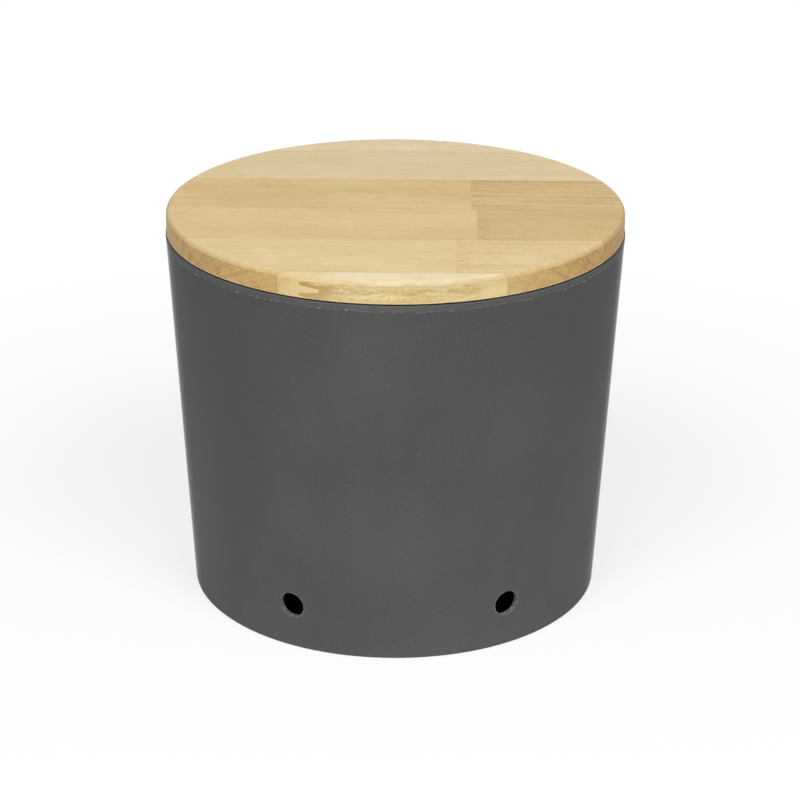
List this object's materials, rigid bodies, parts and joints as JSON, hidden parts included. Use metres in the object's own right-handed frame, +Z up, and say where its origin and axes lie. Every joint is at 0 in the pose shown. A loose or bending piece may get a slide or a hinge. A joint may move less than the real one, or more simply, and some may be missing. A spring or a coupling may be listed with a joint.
{
  "type": "vented storage pot with lid",
  "caption": "Round, slightly tapered storage pot for potatoes with vent holes low in its wall and a loose lid of edge-glued wooden staves.",
  "frame": {"origin": "on the pot's axis, in the plane that its foot ring stands on", "axes": "+Z up along the pot's axis, front is -Y, midway between two of the six vent holes; +X is to the right when seen from the front"},
  "size_m": [0.25, 0.25, 0.2179],
  "materials": {
    "pot_plastic": "dark grey moulded fibre-filled plastic, matt, faintly speckled, lip lightly scuffed",
    "beech_honey": "oiled beech, smooth, honey-coloured",
    "beech_tan": "oiled beech, smooth, darker tan with visible growth rings",
    "beech_pale": "oiled beech, smooth, pale"
  },
  "bodies": {
    "pot": {"pot_body": "pot_plastic"},
    "lid": {"lid_stave_1_left": "beech_pale", "lid_stave_1_right": "beech_pale", "lid_stave_2_left": "beech_honey", "lid_stave_2_right": "beech_honey", "lid_stave_3_left": "beech_honey", "lid_stave_3_right": "beech_tan", "lid_stave_4_left": "beech_tan", "lid_stave_4_right": "beech_tan", "lid_stave_5": "beech_pale", "lid_stave_6": "beech_pale"}
  },
  "joints": [
    {"name": "lid_lift", "type": "slide", "parent": "pot", "child": "lid", "axis": [0, 0, 1], "range_m": [0, 0.25]}
  ]
}
